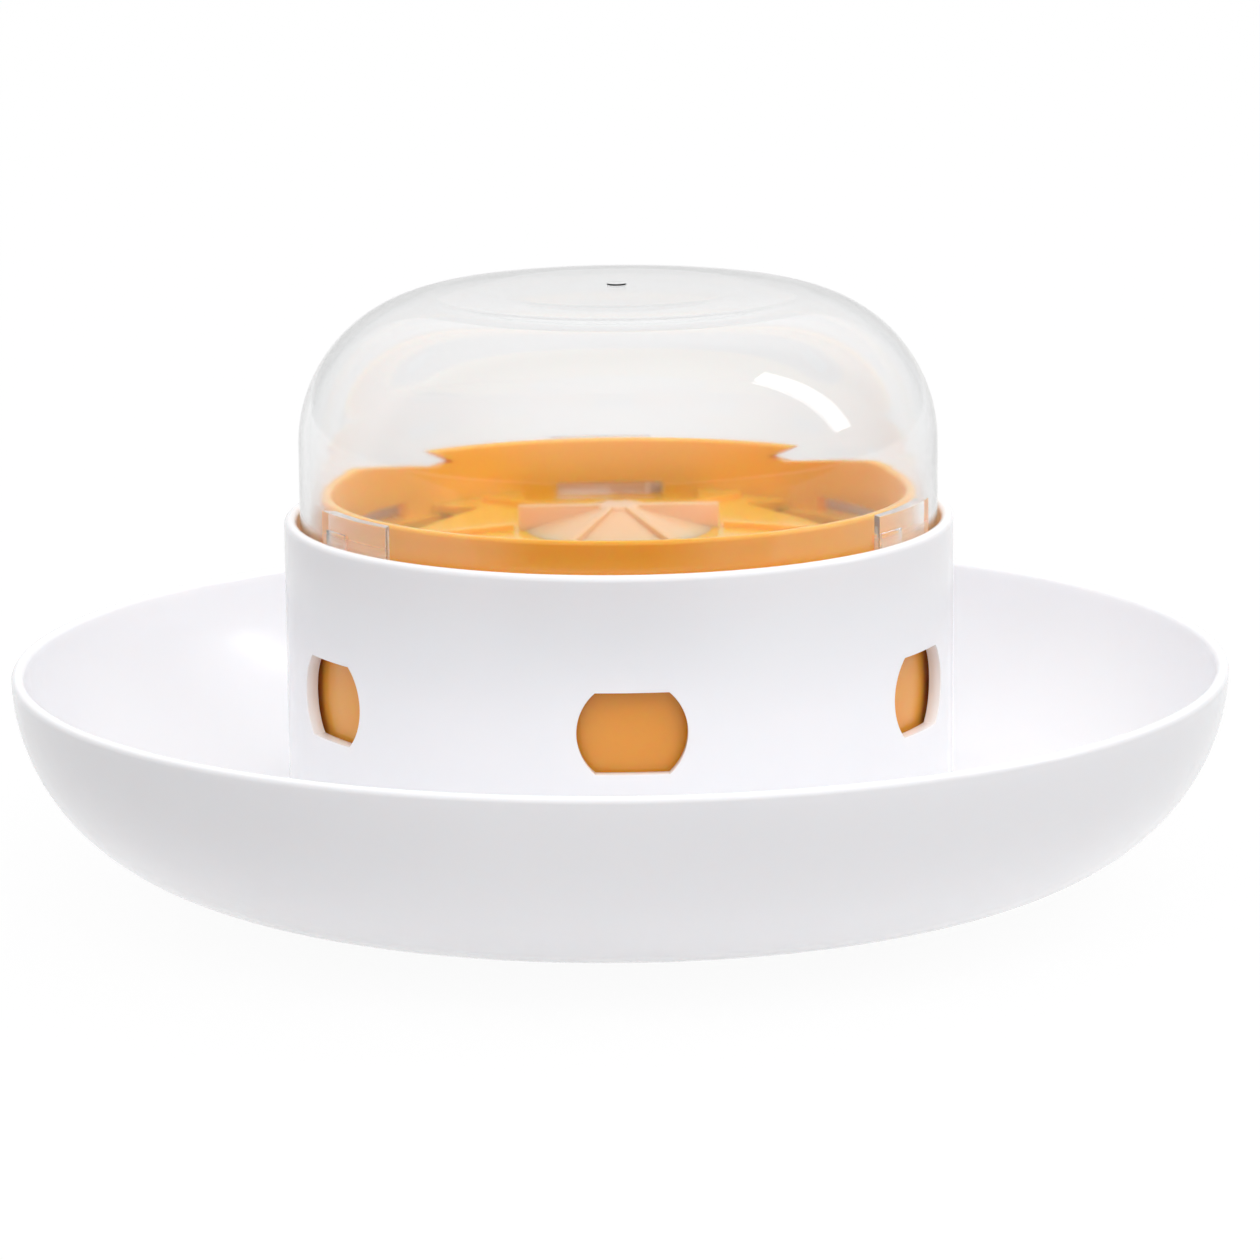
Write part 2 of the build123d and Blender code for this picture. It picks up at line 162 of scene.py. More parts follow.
# Clear dome
dome_wall = 0.002
dome_straight = 0.0149
dome_shoulder_radius = 0.0311
dome_blend_radius = 0.12
dome_blend_start = 83.0
dome_blend_end = 88.5
gate_mark_radius = 0.002
pad_count = 3
pad_span = 21.0
pad_angle = 62.0
pad_gap = 0.00035
pad_round = 0.0004
pad_draft = 1.2
key_gap = 0.00035

# Mesh fineness
turn_steps = 288
arc_steps = 24
long_arc_steps = 72
round_steps = 8
small_turn_steps = 48
pad_segments = 3
edge_round = 0.0003
merge_distance = 1e-7
sharp_angle = math.radians(28)
# An upright face has next to no rise, and a round one looks straight away from the axis
upright_rise = 0.001
round_facing = 0.999

# Levels and radii that follow
window_level = tower_level - window_drop
cup_floor_level = window_level - window_height / 2
cup_base_level = cup_floor_level - cup_floor
hub_level = cup_base_level + hub_height
key_level = tower_level + key_rise
dome_side_level = tower_level + dome_straight
tray_edge_level = shoulder_level + tray_thickness
plateau_level = tray_edge_level + tray_rise
tower_bore = tower_radius - tower_wall
gate_bore = gate_radius - gate_wall
plug_radius = gate_bore - plug_gap
collar_radius = gate_radius - collar_step
collar_bore = collar_radius - collar_wall
ledge_bore = collar_bore - ledge_width
dome_bore = dome_radius - dome_wall
window_step = 360 / window_count


# Shared shader effects

# Places of a Mix node's colour sockets
mix_first, mix_second, mix_result = 6, 7, 2


def add_node(tree, kind, place, **settings):
    """New node at a place of the editor, with its settings."""
    node = tree.nodes.new(kind)
    node.location = place
    for name, value in settings.items():
        setattr(node, name, value)
    return node


def link(tree, source, target):
    """Link two sockets, given as (node, socket name or index)."""
    tree.links.new(source[0].outputs[source[1]], target[0].inputs[target[1]])


def moulded_skin_group():
    """Moulded plastic: slow flow marks in the colour, an uneven gloss, and a faint skin in relief."""
    group = bpy.data.node_groups.new("moulded skin", "ShaderNodeTree")
    for name, kind, value in (
        ("Colour", "NodeSocketColor", (0.8, 0.8, 0.8, 1)),
        ("Flow colour", "NodeSocketColor", (0.75, 0.75, 0.75, 1)),
        ("Flow scale", "NodeSocketFloat", 14.0),
        ("Skin scale", "NodeSocketFloat", 900.0),
        ("Gloss low", "NodeSocketFloat", 0.15),
        ("Gloss high", "NodeSocketFloat", 0.25),
    ):
        group.interface.new_socket(name, in_out="INPUT", socket_type=kind).default_value = value
    for name, kind in (
        ("Colour", "NodeSocketColor"),
        ("Roughness", "NodeSocketFloat"),
        ("Height", "NodeSocketFloat"),
    ):
        group.interface.new_socket(name, in_out="OUTPUT", socket_type=kind)
    inside = add_node(group, "NodeGroupInput", (-800, 0))
    outside = add_node(group, "NodeGroupOutput", (500, 0))
    place = add_node(group, "ShaderNodeTexCoord", (-800, -300))
    flow = add_node(group, "ShaderNodeTexNoise", (-500, 200))
    flow.inputs["Detail"].default_value = 3.0
    flow.inputs["Distortion"].default_value = 0.6
    skin = add_node(group, "ShaderNodeTexNoise", (-500, -200))
    skin.inputs["Detail"].default_value = 2.0
    wear = add_node(group, "ShaderNodeTexNoise", (-500, -500))
    wear.inputs["Scale"].default_value = 55.0
    wear.inputs["Detail"].default_value = 5.0
    spread = add_node(group, "ShaderNodeMapRange", (-250, 200))
    spread.inputs["From Min"].default_value = 0.35
    spread.inputs["From Max"].default_value = 0.65
    tint = add_node(group, "ShaderNodeMix", (0, 200), data_type="RGBA")
    gloss = add_node(group, "ShaderNodeMapRange", (0, -300))
    gloss.inputs["From Min"].default_value = 0.3
    gloss.inputs["From Max"].default_value = 0.7
    for texture in (flow, skin, wear):
        link(group, (place, "Object"), (texture, "Vector"))
    link(group, (inside, "Flow scale"), (flow, "Scale"))
    link(group, (inside, "Skin scale"), (skin, "Scale"))
    link(group, (flow, 0), (spread, "Value"))
    link(group, (spread, 0), (tint, "Factor"))
    link(group, (inside, "Colour"), (tint, mix_first))
    link(group, (inside, "Flow colour"), (tint, mix_second))
    link(group, (wear, 0), (gloss, "Value"))
    link(group, (inside, "Gloss low"), (gloss, "To Min"))
    link(group, (inside, "Gloss high"), (gloss, "To Max"))
    link(group, (tint, mix_result), (outside, "Colour"))
    link(group, (gloss, 0), (outside, "Roughness"))
    link(group, (skin, 0), (outside, "Height"))
    return group


moulded_skin = moulded_skin_group()


def skinned_material(name, colour, flow_colour, gloss, flow_scale, skin_scale, relief):
    """Material with a Principled shader fed by the moulded skin. Returns it and its shader."""
    material = bpy.data.materials.new(name)
    material.use_nodes = True
    tree = material.node_tree
    shader = tree.nodes["Principled BSDF"]
    skin = add_node(tree, "ShaderNodeGroup", (-500, 0), node_tree=moulded_skin)
    skin.inputs["Colour"].default_value = (*colour, 1)
    skin.inputs["Flow colour"].default_value = (*flow_colour, 1)
    skin.inputs["Flow scale"].default_value = flow_scale
    skin.inputs["Skin scale"].default_value = skin_scale
    skin.inputs["Gloss low"].default_value = gloss[0]
    skin.inputs["Gloss high"].default_value = gloss[1]
    bump = add_node(tree, "ShaderNodeBump", (-250, -300))
    bump.inputs["Strength"].default_value = relief
    bump.inputs["Distance"].default_value = edge_round
    link(tree, (skin, "Colour"), (shader, "Base Color"))
    link(tree, (skin, "Roughness"), (shader, "Roughness"))
    link(tree, (skin, "Height"), (bump, "Height"))
    link(tree, (bump, "Normal"), (shader, "Normal"))
    return material, shader


def spread_light(shader, share, reach, scale):
    """Let light spread inside a plastic, with a reach for each of red, green and blue."""
    shader.inputs["Subsurface Weight"].default_value = share
    shader.inputs["Subsurface Radius"].default_value = reach
    shader.inputs["Subsurface Scale"].default_value = scale


def value_ramp(tree, source, start, end, low, high, change="LINEAR"):
    """Socket of a value that goes from one to another as a source goes from its start to its end."""
    ramp = add_node(tree, "ShaderNodeMapRange", (-700, 500), interpolation_type=change)
    for name, value in (("From Min", start), ("From Max", end), ("To Min", low), ("To Max", high)):
        ramp.inputs[name].default_value = value
    link(tree, source, (ramp, "Value"))
    return ramp, 0


def height_ramp(tree, low_level, high_level, low, high):
    """Socket of a value that goes from one to another between two levels."""
    place = add_node(tree, "ShaderNodeTexCoord", (-1100, 400))
    parts = add_node(tree, "ShaderNodeSeparateXYZ", (-900, 400))
    link(tree, (place, "Object"), (parts, 0))
    return value_ramp(tree, (parts, "Z"), low_level, high_level, low, high)


def radius_ramp(tree, near, far, low, high):
    """Socket of a value that goes from one to another between two distances from the axis."""
    place = add_node(tree, "ShaderNodeTexCoord", (-1300, 700))
    flat = add_node(tree, "ShaderNodeVectorMath", (-1100, 700), operation="MULTIPLY")
    flat.inputs[1].default_value = (1, 1, 0)
    radius = add_node(tree, "ShaderNodeVectorMath", (-900, 700), operation="LENGTH")
    link(tree, (place, "Object"), (flat, 0))
    link(tree, (flat, 0), (radius, 0))
    return value_ramp(tree, (radius, "Value"), near, far, low, high)


def white_plastic():
    """Glossy white of the bowl and the tower."""
    material, shader = skinned_material(
        "white gloss plastic", colour=(0.88, 0.878, 0.9), flow_colour=(0.868, 0.866, 0.89),
        gloss=(0.14, 0.22), flow_scale=9.0, skin_scale=700.0, relief=0.02)
    shader.inputs["IOR"].default_value = 1.5
    spread_light(shader, share=0.35, reach=(1.0, 0.85, 0.8), scale=0.0025)
    return material


def orange_plastic():
    """Glossy orange of the cup and the tray, deeper low on the gate, with painted light inside the collar: a
    lighter, yellower orange as if brightly lit.
    """
    deep_tint = (0.82, 0.79, 1.7, 1)
    # Painted light: inside the collar the orange is painted lighter and yellower, as if brightly lit; this
    # colour, its share and its reach set it.
    painted_light_colour = (0.97, 0.6, 0.07, 1)
    painted_light_share = 0.3
    painted_light_near = collar_bore + rim_round / 2
    painted_light_far = collar_radius - rim_round / 2
    material, shader = skinned_material(
        "orange gloss plastic", colour=(0.98, 0.45, 0.032), flow_colour=(0.965, 0.425, 0.027),
        gloss=(0.14, 0.24), flow_scale=16.0, skin_scale=800.0, relief=0.02)
    shader.inputs["IOR"].default_value = 1.5
    tree = material.node_tree
    deeper = add_node(tree, "ShaderNodeMix", (-250, 200), data_type="RGBA", blend_type="MULTIPLY")
    deeper.inputs[mix_second].default_value = deep_tint
    # Painted light: mixes the lighter, yellower colour into the orange inside the collar.
    painted_light = add_node(tree, "ShaderNodeMix", (-50, 200), data_type="RGBA")
    painted_light.inputs[mix_second].default_value = painted_light_colour
    link(tree, height_ramp(tree, gate_top_level - plug_depth, shoulder_level, 1.0, 0.0), (deeper, "Factor"))
    link(tree, radius_ramp(tree, painted_light_near, painted_light_far, painted_light_share, 0.0), (painted_light, "Factor"))
    link(tree, (tree.nodes["Group"], "Colour"), (deeper, mix_first))
    link(tree, (deeper, mix_result), (painted_light, mix_first))
    link(tree, (painted_light, mix_result), (shader, "Base Color"))
    spread_light(shader, share=0.8, reach=(1.0, 0.2, 0.06), scale=0.0045)
    return material


def pale_plastic():
    """Pale orange of the thin vanes."""
    material, shader = skinned_material(
        "pale orange plastic", colour=(0.87, 0.555, 0.33), flow_colour=(0.855, 0.53, 0.305),
        gloss=(0.2, 0.3), flow_scale=24.0, skin_scale=900.0, relief=0.02)
    spread_light(shader, share=0.6, reach=(1.0, 0.6, 0.35), scale=0.003)
    return material


def clear_plastic():
    """Clear plastic of the dome, polished on top, with fine scuffs round its side and milky pads."""
    milk_colour = (0.93, 0.935, 0.94, 1)
    milk_at_slot, milk_at_key = 0.95, 0.18
    passed_light = (0.995, 0.995, 0.995, 1)
    material, shader = skinned_material(
        "clear plastic", colour=(0.938, 0.943, 0.947), flow_colour=(0.925, 0.931, 0.936),
        gloss=(0.05, 0.09), flow_scale=12.0, skin_scale=60.0, relief=0.01)
    shader.inputs["Transmission Weight"].default_value = 1.0
    shader.inputs["IOR"].default_value = 1.49
    tree = material.node_tree
    scuffs = add_node(tree, "ShaderNodeMath", (-250, 300), operation="MULTIPLY")
    link(tree, height_ramp(tree, dome_side_level, dome_top_level, 1.0, 0.0), (scuffs, 0))
    link(tree, (tree.nodes["Group"], "Roughness"), (scuffs, 1))
    link(tree, (scuffs, 0), (shader, "Roughness"))
    pads = add_node(tree, "ShaderNodeMath", (-450, 600), operation="MULTIPLY")
    milkiness = add_node(tree, "ShaderNodeMath", (-250, 600), operation="MULTIPLY")
    milk = add_node(tree, "ShaderNodeBsdfDiffuse", (50, -300))
    milk.inputs["Color"].default_value = milk_colour
    padded = add_node(tree, "ShaderNodeMixShader", (300, 0))
    slot_top = shoulder_level + collar_slot_height
    link(tree, radius_ramp(tree, dome_bore - edge_round, dome_bore, 1.0, 0.0), (pads, 0))
    link(tree, height_ramp(tree, cup_rim_level, cup_rim_level + edge_round, 1.0, 0.0), (pads, 1))
    link(tree, (pads, 0), (milkiness, 0))
    link(tree, height_ramp(tree, slot_top, key_level, milk_at_slot, milk_at_key), (milkiness, 1))
    link(tree, (milkiness, 0), (padded, "Fac"))
    link(tree, (shader, 0), (padded, 1))
    link(tree, (milk, 0), (padded, 2))
    path = add_node(tree, "ShaderNodeLightPath", (0, 500))
    lit = add_node(tree, "ShaderNodeMath", (200, 500), operation="MAXIMUM")
    through = add_node(tree, "ShaderNodeBsdfTransparent", (300, -300))
    through.inputs["Color"].default_value = passed_light
    mix = add_node(tree, "ShaderNodeMixShader", (550, 0))
    link(tree, (path, "Is Shadow Ray"), (lit, 0))
    link(tree, (path, "Is Diffuse Ray"), (lit, 1))
    link(tree, (lit, 0), (mix, "Fac"))
    link(tree, (padded, 0), (mix, 1))
    link(tree, (through, 0), (mix, 2))
    link(tree, (mix, 0), (tree.nodes["Material Output"], "Surface"))
    return material


def plated_steel():
    """Zinc-plated steel of the screws and the washer."""
    material, shader = skinned_material(
        "zinc plated steel", colour=(0.58, 0.58, 0.6), flow_colour=(0.48, 0.48, 0.51),
        gloss=(0.25, 0.45), flow_scale=90.0, skin_scale=2500.0, relief=0.08)
    shader.inputs["Metallic"].default_value = 1.0
    return material


def foot_rubber():
    """Matt dark rubber of the foot ring."""
    return skinned_material(
        "non-slip rubber", colour=(0.045, 0.045, 0.048), flow_colour=(0.06, 0.06, 0.062),
        gloss=(0.6, 0.8), flow_scale=60.0, skin_scale=1800.0, relief=0.35)[0]


white = white_plastic()
orange = orange_plastic()
pale = pale_plastic()
clear = clear_plastic()
steel = plated_steel()
rubber = foot_rubber()


# Mesh helpers

def new_piece(name, mesh):
    """Object at the origin that holds a mesh."""
    piece = bpy.data.objects.new(name, mesh)
    bpy.context.scene.collection.objects.link(piece)
    return piece


def piece_from(name, shape):
    """Object made from a bmesh, with its faces turned outwards."""
    bmesh.ops.remove_doubles(shape, verts=shape.verts, dist=merge_distance)
    bmesh.ops.recalc_face_normals(shape, faces=shape.faces)
    mesh = bpy.data.meshes.new(name)
    shape.to_mesh(mesh)
    shape.free()
    return new_piece(name, mesh)


def arc(centre, radius, start, end, steps=arc_steps):
    """Points of a profile arc between two angles, in degrees up from the outward direction."""
    points = []
    for step in range(steps + 1):
        angle = math.radians(start + (end - start) * step / steps)
        points.append((centre[0] + radius * math.cos(angle), centre[1] + radius * math.sin(angle)))
    return points


def swing(radius, angle, level):
    """Point at a radius, an angle from the front and a level."""
    turn = math.radians(angle)
    return Vector((radius * math.sin(turn), -radius * math.cos(turn), level))


def lathe(name, profile, steps=turn_steps):
    """Solid turned about the axis from a closed profile of (radius, level) points."""
    shape = bmesh.new()
    rings = []
    for step in range(steps):
        angle = 360 * step / steps
        rings.append([shape.verts.new(swing(radius, angle, level)) for radius, level in profile])
    for step in range(steps):
        here, there = rings[step], rings[(step + 1) % steps]
        for index in range(len(profile)):
            after = (index + 1) % len(profile)
            if profile[index][0] == 0 and profile[after][0] == 0:
                continue
            corners = [here[index], here[after], there[after], there[index]]
            if profile[index][0] == 0:
                corners.pop(3)
            elif profile[after][0] == 0:
                corners.pop(2)
            shape.faces.new(corners)
    return piece_from(name, shape)


def close_ends(shape, ends):
    """Close two matching loops of corners into a solid."""
    shape.faces.new(ends[0])
    shape.faces.new(ends[1])
    for index in range(len(ends[0])):
        after = (index + 1) % len(ends[0])
        shape.faces.new((ends[0][index], ends[0][after], ends[1][after], ends[1][index]))


def prism(name, outline, angle, inner, outer):
    """Solid with an outline of (across, level) points, pushed outwards from one radius to another."""
    turn = math.radians(angle)
    across = Vector((math.cos(turn), math.sin(turn), 0))
    outward = Vector((math.sin(turn), -math.cos(turn), 0))
    shape = bmesh.new()
    ends = []
    for radius in (inner, outer):
        ends.append([shape.verts.new(across * side + outward * radius + Vector((0, 0, level)))
                     for side, level in outline])
    close_ends(shape, ends)
    return piece_from(name, shape)


def slab(name, outline, low, high):
    """Solid with a plan outline of (x, y) points between two levels."""
    shape = bmesh.new()
    ends = [[shape.verts.new((x, y, level)) for x, y in outline] for level in (low, high)]
    close_ends(shape, ends)
    return piece_from(name, shape)


def applied(piece):
    """Give a piece the mesh that its modifiers make, and remove them."""
    graph = bpy.context.evaluated_depsgraph_get()
    mesh = bpy.data.meshes.new_from_object(piece.evaluated_get(graph), depsgraph=graph)
    mesh.name = piece.name
    piece.modifiers.clear()
    piece.data = mesh
    return piece


def combined(piece, other, operation):
    """Cut another solid out of a piece, or join it on. The other solid is used up."""
    change = piece.modifiers.new("solid", "BOOLEAN")
    change.object = other
    change.operation = operation
    change.solver = "EXACT"
    applied(piece)
    bpy.data.objects.remove(other)
    return piece


def softened(piece, width, segments=2):
    """Round the sharp edges of a piece."""
    bevel = piece.modifiers.new("round", "BEVEL")
    bevel.width = width
    bevel.segments = segments
    bevel.limit_method = "ANGLE"
    bevel.angle_limit = sharp_angle
    bevel.harden_normals = False
    return applied(piece)


def finished(piece, material, body, node):
    """Shade a piece smooth up to its sharp edges, dress it and hang it on its body."""
    mesh = piece.data
    mesh.materials.clear()
    mesh.materials.append(material)
    for face in mesh.polygons:
        face.use_smooth = True
        face.material_index = 0
    mesh.set_sharp_from_angle(angle=sharp_angle)
    turned = []
    for face in mesh.polygons:
        upright = abs(face.normal.z) < upright_rise
        for index in face.loop_indices:
            place = mesh.vertices[mesh.loops[index].vertex_index].co
            radial = Vector((place.x, place.y, 0)).normalized()
            facing = radial.dot(face.normal)
            is_round = upright and abs(facing) > round_facing
            turned.append(radial * math.copysign(1, facing) if is_round else Vector())
    mesh.normals_split_custom_set(turned)
    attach(piece, body)
    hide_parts(node)
    return piece


def ring_tree():
    """Copies of one solid, turned round the axis at even steps."""
    tree = bpy.data.node_groups.new("ring of copies", "GeometryNodeTree")
    tree.interface.new_socket("Copy", in_out="INPUT", socket_type="NodeSocketObject")
    tree.interface.new_socket("Count", in_out="INPUT", socket_type="NodeSocketInt")
    tree.interface.new_socket("First turn", in_out="INPUT", socket_type="NodeSocketFloat")
    tree.interface.new_socket("Material", in_out="INPUT", socket_type="NodeSocketMaterial")
    tree.interface.new_socket("Geometry", in_out="OUTPUT", socket_type="NodeSocketGeometry")
    inside = add_node(tree, "NodeGroupInput", (-900, 0))
    outside = add_node(tree, "NodeGroupOutput", (700, 0))
    points = add_node(tree, "GeometryNodePoints", (-400, 200))
    copy = add_node(tree, "GeometryNodeObjectInfo", (-400, -100))
    index = add_node(tree, "GeometryNodeInputIndex", (-900, -400))
    step = add_node(tree, "ShaderNodeMath", (-650, -300), operation="DIVIDE")
    step.inputs[0].default_value = math.tau
    turn = add_node(tree, "ShaderNodeMath", (-450, -400), operation="MULTIPLY_ADD")
    about = add_node(tree, "ShaderNodeCombineXYZ", (-250, -400))
    place = add_node(tree, "GeometryNodeInstanceOnPoints", (0, 0))
    real = add_node(tree, "GeometryNodeRealizeInstances", (250, 0))
    dress = add_node(tree, "GeometryNodeSetMaterial", (450, 0))
    link(tree, (inside, "Count"), (points, "Count"))
    link(tree, (inside, "Copy"), (copy, "Object"))
    link(tree, (inside, "Count"), (step, 1))
    link(tree, (index, 0), (turn, 0))
    link(tree, (step, 0), (turn, 1))
    link(tree, (inside, "First turn"), (turn, 2))
    link(tree, (turn, 0), (about, "Z"))
    link(tree, (points, 0), (place, "Points"))
    link(tree, (copy, "Geometry"), (place, "Instance"))
    link(tree, (about, 0), (place, "Rotation"))
    link(tree, (place, 0), (real, 0))
    link(tree, (real, 0), (dress, "Geometry"))
    link(tree, (inside, "Material"), (dress, "Material"))
    link(tree, (dress, 0), (outside, 0))
    return tree


copies_round = ring_tree()


def ring_of(name, copy, count, first_angle, material):
    """Piece made of copies of a solid at the front, from a first angle on. The solid is used up."""
    piece = new_piece(name, bpy.data.meshes.new(name))
    change = piece.modifiers.new("ring", "NODES")
    change.node_group = copies_round
    values = {
        "Copy": copy,
        "Count": count,
        "First turn": math.radians(first_angle),
        "Material": material,
    }
    for item in copies_round.interface.items_tree:
        if item.in_out == "INPUT":
            change[item.identifier] = values[item.name]
    applied(piece)
    bpy.data.objects.remove(copy)
    return piece


def window_points():
    """Outline of one window, a circle cut off flat at the top and bottom, about its middle."""
    radius = window_diameter / 2
    half = window_height / 2
    corner = math.degrees(math.asin(half / radius))
    right = arc((0, 0), radius, -corner, corner)
    left = arc((0, 0), radius, 180 - corner, 180 + corner)
    return [(side, window_level + up) for side, up in right + left]


def rectangle(width, low, high):
    """Outline of an upright rectangle about the middle."""
    return [(-width / 2, low), (width / 2, low), (width / 2, high), (-width / 2, high)]


def fin(name, outline, angle, thickness):
    """Upright solid along a radius, with an outline of (radius, level) points."""
    turn = math.radians(angle)
    across = Vector((math.cos(turn), math.sin(turn), 0)) * thickness / 2
    outward = Vector((math.sin(turn), -math.cos(turn), 0))
    shape = bmesh.new()
    ends = []
    for side in (-1, 1):
        ends.append([shape.verts.new(outward * radius + across * side + Vector((0, 0, level)))
                     for radius, level in outline])
    close_ends(shape, ends)
    return piece_from(name, shape)


# Pieces

def bowl_profile():
    """Half section of the saucer from the axis under the foot, round the rim, to the axis inside."""
    lip = bowl_wall / 2
    side_centre = (rim_radius - bowl_side_radius, rim_level)
    tilt = math.degrees(math.asin(side_centre[0] / (bowl_bottom_radius - bowl_side_radius)))
    bottom_centre = (0, foot_level + math.sqrt(bowl_bottom_radius**2 - foot_radius**2))
    foot_tilt = math.degrees(math.asin(foot_radius / bowl_bottom_radius))
    seat_radius = tower_radius + seat_margin
    seat_bore = seat_radius - seat_width
    inner_bottom = bowl_bottom_radius - bowl_wall
    seat_tilt = math.degrees(math.asin((seat_radius + seat_fillet) / inner_bottom))
    floor_level = foot_level + bowl_wall
    pad_edge = screw_circle_radius + 2 * screw_recess_radius
    points = [(0, foot_level)]
    for side, rise in ((-1, 0), (-1, 1), (1, 1), (1, 0)):
        points.append((groove_radius + side * groove_width / 2, foot_level + rise * groove_depth))
    points += arc(bottom_centre, bowl_bottom_radius, foot_tilt - 90, tilt - 90)
    side = arc(side_centre, bowl_side_radius, tilt - 90, 0, long_arc_steps)[1:]
    points += [(radius, level) for radius, level in side if level < rim_level - lip]
    points += arc((rim_radius - lip, rim_level - lip), lip, 0, 180)
    side = arc(side_centre, bowl_side_radius - bowl_wall, 0, tilt - 90, long_arc_steps)
    points += [(radius, level) for radius, level in side if level < rim_level - lip]
    points += arc(bottom_centre, inner_bottom, tilt - 90, seat_tilt - 90)[1:]
    points += [(seat_radius, points[-1][1] + seat_fillet), (seat_radius, seat_level), (seat_bore, seat_level)]
    points += [(seat_bore, floor_level), (pad_edge, floor_level)]
    return points + [(pad_edge, seat_level), (0, seat_level)]


def saucer():
    """The dish, with the recesses of the tower's screws in its foot."""
    piece = lathe("bowl_shell", bowl_profile())
    below = foot_level - bowl_wall
    above = foot_level + screw_recess_depth
    profile = [(0, below), (screw_recess_radius, below), (screw_recess_radius, above), (0, above)]
    recess = lathe("recess", profile, steps=small_turn_steps)
    recess.data.transform(Matrix.Translation(swing(screw_circle_radius, 0, 0)))
    combined(piece, ring_of("recesses", recess, screw_count, screw_turn, white), "DIFFERENCE")
    return finished(piece, white, "base", "saucer_bowl")


def tower():
    """The tower wall with its windows, and the flange inside."""
    lip = tower_wall / 2
    flange_top = cup_base_level - flange_drop
    flange_under = flange_top - flange_thickness
    flange_bore = tower_bore - flange_width
    profile = [(tower_radius, seat_level)]
    profile += arc((tower_radius - lip, tower_level - lip), lip, 0, 180)
    profile += [(tower_bore, flange_top), (flange_bore, flange_top), (flange_bore, flange_under),
                (tower_bore, flange_under), (tower_bore, seat_level)]
    piece = lathe("tower_shell", profile)
    window = prism("window", window_points(), 0, gate_bore, tower_radius + tower_wall)
    combined(piece, ring_of("windows", window, window_count, 0, white), "DIFFERENCE")
    return finished(softened(piece, window_round), white, "base", "window_tower")


def gate():
    """The cup's hub, sloping floor and gate wall."""
    hub_floor = hub_level - hub_step
    profile = [(hub_bore, hub_level), (hub_bore, cup_base_level), (hub_radius, cup_base_level),
               (hub_radius, hub_floor - cup_floor), (gate_bore, cup_base_level),
               (gate_radius, cup_base_level), (gate_radius, gate_top_level), (gate_bore, gate_top_level),
               (gate_bore, cup_floor_level), (hub_radius, hub_floor), (hub_radius, hub_level)]
    piece = lathe("gate_shell", profile)
    window = prism("window", window_points(), 0, ledge_bore, gate_radius + gate_wall)
    combined(piece, ring_of("windows", window, window_count, window_step / 2, orange), "DIFFERENCE")
    return finished(softened(piece, window_round), orange, "cup", "gate_cup")


def notch(side):
    """Cutter for the sloping notch on one side of the back of the rim."""
    half = notch_width / 2
    outline = [(-half, 0), (-half - notch_undercut, notch_apex_rise - notch_depth),
               (-half - notch_foot_inset, -notch_depth), (half, 0), (half, notch_depth), (-half, notch_depth)]
    points = [(side * across, cup_rim_level + up) for across, up in outline]
    return prism("notch", points, 180 + side * notch_angle, collar_bore - notch_undercut, gate_radius)


def collar():
    """The collar ring: plug, shoulder, ledge and collar, with keys, slots and the rim's two notches."""
    plug_bore = plug_radius - plug_wall
    plug_end = gate_top_level - plug_depth
    profile = [(plug_radius, gate_top_level), (gate_radius, gate_top_level), (gate_radius, shoulder_level),
               (collar_radius, shoulder_level)]
    profile += arc((collar_radius - rim_round, cup_rim_level - rim_round), rim_round, 0, 90, round_steps)
    profile += arc((collar_bore + rim_round, cup_rim_level - rim_round), rim_round, 90, 180, round_steps)
    profile += [(collar_bore, shoulder_level), (ledge_bore, shoulder_level), (ledge_bore, gate_top_level),
                (plug_bore, gate_top_level), (plug_bore, plug_end), (plug_radius, plug_end)]
    piece = lathe("collar_ring", profile)
    key = prism("key", rectangle(key_width, shoulder_level + collar_slot_height / 2, key_level), 0,
                collar_radius - collar_wall / 2, collar_radius + key_height)
    combined(piece, ring_of("keys", key, pad_count, pad_angle - key_turn, orange), "UNION")
    slot = prism("slot", rectangle(collar_slot_width, shoulder_level, shoulder_level + collar_slot_height), 0,
                 ledge_bore, gate_radius)
    combined(piece, ring_of("slots", slot, window_count, 0, orange), "DIFFERENCE")
    for side in (-1, 1):
        combined(piece, notch(side), "DIFFERENCE")
    return finished(softened(piece, tray_round), orange, "cup", "cup_collar")


def tray():
    """The cone tray with its lane ribs and drop openings."""
    cone_radius = tray_radius - tray_edge_width
    under = plateau_level - tray_thickness
    stem_bore = stem_radius + stem_gap
    profile = [(stem_bore, plateau_level), (stem_bore, under), (plateau_radius, under),
               (cone_radius, shoulder_level), (tray_radius, shoulder_level), (tray_radius, tray_edge_level),
               (cone_radius, tray_edge_level), (plateau_radius, plateau_level)]
    piece = lathe("tray_cone", profile)
    rib = fin("rib", [(plateau_radius, under + tray_round), (cone_radius, shoulder_level + tray_round),
                      (cone_radius, tray_edge_level + lane_rib_height),
                      (plateau_radius, plateau_level + lane_rib_height)], 0, lane_rib_thickness)
    combined(piece, ring_of("ribs", rib, window_count, window_step / 2, orange), "UNION")
    outer = -tray_radius - drop_depth
    inner = -tray_radius + drop_depth - drop_round
    half = drop_width / 2 - drop_round
    opening = [(drop_width / 2, outer)] + arc((half, inner), drop_round, 0, 90)
    opening += arc((-half, inner), drop_round, 90, 180) + [(-drop_width / 2, outer)]
    drop = slab("drop", opening, shoulder_level - tray_thickness, vane_level)
    combined(piece, ring_of("drops", drop, window_count, 0, orange), "DIFFERENCE")
    return finished(softened(piece, tray_round), orange, "cup", "cone_tray")


